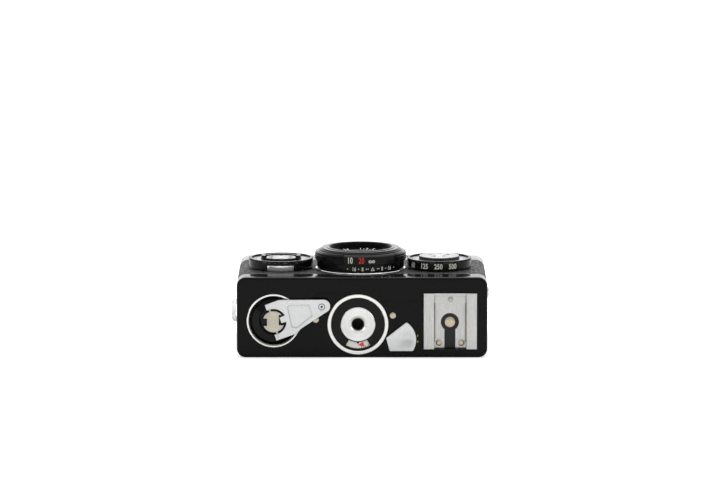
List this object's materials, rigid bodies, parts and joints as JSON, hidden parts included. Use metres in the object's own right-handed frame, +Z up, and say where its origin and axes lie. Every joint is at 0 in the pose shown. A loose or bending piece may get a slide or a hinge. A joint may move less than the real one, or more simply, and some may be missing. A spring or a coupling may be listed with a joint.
{
  "type": "compact film camera",
  "caption": "Pocket film camera with collapsible scale-focus lens, two front dials, folding rewind crank, tripod socket and accessory shoe under the base, and a slide-off back.",
  "frame": {"origin": "centre of the tripod socket on the plane of the bottom plate", "axes": "+Z up towards the top cover, -Y the way the lens looks, +X the viewer's right in a front view"},
  "size_m": [0.1023, 0.04, 0.0653],
  "materials": {
    "casting_black": "matt black painted die casting",
    "black_satin": "satin black enamel on brass",
    "black_gloss": "gloss black enamel",
    "leatherette": "coarse pebbled grain, semi-matt",
    "satin_chrome": "satin chrome",
    "bright_chrome": "polished chrome",
    "brushed": "circular brushed",
    "brass": "worn bare brass",
    "black_alu": "black anodised, fine turned",
    "silver_alu": "silver anodised, circular grained",
    "spring_steel": "blued spring steel",
    "optical_glass": "coated, polished",
    "window_glass": "clear, polished",
    "black_plastic": "matt moulded",
    "cream": "off-white disc"
  },
  "bodies": {
    "camera_body": {"body_frame": "casting_black", "front_panel": "casting_black", "leatherette_front": "leatherette", "top_cover": "black_gloss", "top_cover_screws": "bright_chrome", "lens_mount_ring": "bright_chrome", "lens_guide": "black_alu", "tripod_socket": "brushed", "counter_ring": "satin_chrome", "counter_window_plate": "black_gloss", "finder_housing": "black_plastic", "finder_glass": "window_glass", "meter_glass": "window_glass", "galvanometer": "black_plastic", "strap_lug": "bright_chrome", "sync_socket": "bright_chrome", "release_spring": "spring_steel", "pressure_plate": "black_satin"},
    "sliding_back": {"back_cover": "black_satin", "leatherette_back": "leatherette", "bottom_cover": "black_satin", "crank_ring": "satin_chrome", "crank_well": "black_gloss", "accessory_shoe": "black_satin", "contact_insulator": "black_plastic", "hot_shoe_contact": "brass", "shoe_springs": "spring_steel", "brass_rivets": "brass"},
    "rewind_shaft": {"rewind_spindle": "satin_chrome", "crank_turntable": "black_gloss"},
    "crank_arm": {"rewind_crank": "satin_chrome"},
    "crank_grip": {"crank_knob": "satin_chrome"},
    "back_lock": {"back_lock_lever": "satin_chrome"},
    "tube_key": {"tube_key_ring": "brass"},
    "lens_barrel": {"lens_tube": "satin_chrome", "depth_scale_ring": "black_alu", "shutter_housing": "black_alu", "iris_blades": "spring_steel", "shutter_blades": "spring_steel", "rear_element": "optical_glass"},
    "focusing_ring": {"focus_ring": "black_alu"},
    "front_group": {"front_cell": "black_alu", "front_element": "optical_glass"},
    "aperture_wheel": {"aperture_dial": "black_alu", "aperture_scale_plate": "silver_alu"},
    "film_speed_setter": {"film_speed_knob": "black_alu", "film_speed_plate": "silver_alu"},
    "aperture_catch": {"aperture_lock": "bright_chrome"},
    "shutter_wheel": {"shutter_dial": "black_alu", "shutter_scale_plate": "silver_alu"},
    "film_reminder": {"film_reminder_disc": "silver_alu"},
    "shutter_release": {"release_button": "bright_chrome"},
    "lens_catch": {"lens_release_button": "bright_chrome"},
    "rewind_switch": {"rewind_lever": "bright_chrome"},
    "wind_lever": {"advance_lever": "satin_chrome", "advance_gear": "satin_chrome"},
    "spool": {"take_up_spool": "black_plastic"},
    "film_sprocket": {"sprocket": "satin_chrome"},
    "frame_counter": {"counter_disc": "cream"},
    "needle": {"meter_needle": "spring_steel"}
  },
  "joints": [
    {"name": "back_cover_slide", "type": "slide", "parent": "camera_body", "child": "sliding_back", "axis": [0, 0, -1], "range_m": [0, 0.065]},
    {"name": "crank_turn", "type": "hinge", "parent": "sliding_back", "child": "rewind_shaft", "pos_m": [-0.0326, -0.00145, 0], "axis": [0, 0, -1], "continuous": true},
    {"name": "crank_fold", "type": "hinge", "parent": "rewind_shaft", "child": "crank_arm", "pos_m": [-0.0326, -0.00145, -0.00175], "axis": [0.299, 0.9542, 0], "range_deg": [0, 150]},
    {"name": "crank_grip_spin", "type": "hinge", "parent": "crank_arm", "child": "crank_grip", "pos_m": [-0.01399, -0.00728, -0.001], "axis": [0, 0, -1], "continuous": true},
    {"name": "back_lock_swing", "type": "hinge", "parent": "sliding_back", "child": "back_lock", "pos_m": [0.0143, 0.0058, 0], "axis": [0, 0, -1], "range_deg": [0, 60]},
    {"name": "lens_extend", "type": "slide", "parent": "camera_body", "child": "tube_key", "axis": [0, -1, 0], "range_m": [0, 0.017]},
    {"name": "lens_lock_turn", "type": "hinge", "parent": "tube_key", "child": "lens_barrel", "pos_m": [0.001, 0, 0.0245], "axis": [0, -1, 0], "range_deg": [-50, 0]},
    {"name": "focus_turn", "type": "hinge", "parent": "lens_barrel", "child": "focusing_ring", "pos_m": [0.001, -0.024, 0.0245], "axis": [0, -1, 0], "range_deg": [0, 95]},
    {"name": "focus_travel", "type": "slide", "parent": "lens_barrel", "child": "front_group", "axis": [0, -1, 0], "range_m": [0, 0.0014]},
    {"name": "aperture_dial_turn", "type": "hinge", "parent": "camera_body", "child": "aperture_wheel", "pos_m": [-0.0301, -0.021, 0.0265], "axis": [0, -1, 0], "range_deg": [-75, 75]},
    {"name": "film_speed_turn", "type": "hinge", "parent": "aperture_wheel", "child": "film_speed_setter", "pos_m": [-0.0301, -0.022, 0.0265], "axis": [0, -1, 0], "range_deg": [-140, 140]},
    {"name": "aperture_catch_press", "type": "slide", "parent": "aperture_wheel", "child": "aperture_catch", "axis": [0, 0, 1], "range_m": [0, 0.0008], "stiffness_N_per_m": 20, "springref_m": -0.0002},
    {"name": "shutter_dial_turn", "type": "hinge", "parent": "camera_body", "child": "shutter_wheel", "pos_m": [0.0318, -0.021, 0.0265], "axis": [0, -1, 0], "range_deg": [-150, 60]},
    {"name": "film_reminder_turn", "type": "hinge", "parent": "shutter_wheel", "child": "film_reminder", "pos_m": [0.0318, -0.022, 0.0265], "axis": [0, -1, 0], "continuous": true},
    {"name": "shutter_release_press", "type": "slide", "parent": "camera_body", "child": "shutter_release", "axis": [0, 0, -1], "range_m": [0, 0.0018], "stiffness_N_per_m": 80, "springref_m": -0.0003},
    {"name": "lens_catch_press", "type": "slide", "parent": "camera_body", "child": "lens_catch", "axis": [0, 0, -1], "range_m": [0, 0.001], "stiffness_N_per_m": 60, "springref_m": -0.0003},
    {"name": "rewind_switch_turn", "type": "hinge", "parent": "camera_body", "child": "rewind_switch", "pos_m": [0.0165, -0.0105, 0.06], "axis": [0, 0, 1], "range_deg": [0, 60]},
    {"name": "advance_lever_swing", "type": "hinge", "parent": "camera_body", "child": "wind_lever", "pos_m": [0.038, -0.001, 0.06], "axis": [0, 0, -1], "range_deg": [0, 130]},
    {"name": "take_up_spool_turn", "type": "hinge", "parent": "camera_body", "child": "spool", "pos_m": [0.038, -0.001, 0.025], "axis": [0, 0, -1], "continuous": true},
    {"name": "sprocket_turn", "type": "hinge", "parent": "camera_body", "child": "film_sprocket", "pos_m": [0.02623, 0.0035, 0.025], "axis": [0, 0, -1], "continuous": true},
    {"name": "frame_counter_turn", "type": "hinge", "parent": "camera_body", "child": "frame_counter", "pos_m": [0, 0, 0.001], "axis": [0, 0, -1], "continuous": true},
    {"name": "meter_needle_swing", "type": "hinge", "parent": "camera_body", "child": "needle", "pos_m": [-0.024, 0.001, 0.057], "axis": [0, 0, 1], "range_deg": [-14, 14]}
  ],
  "couplings": [
    {"joint": "focus_travel", "follows": "focus_turn", "m_per_rad": 0.00072374},
    {"joint": "take_up_spool_turn", "follows": "advance_lever_swing", "ratio": 1},
    {"joint": "sprocket_turn", "follows": "advance_lever_swing", "ratio": -1.3333},
    {"joint": "frame_counter_turn", "follows": "advance_lever_swing", "ratio": 0.069231}
  ]
}
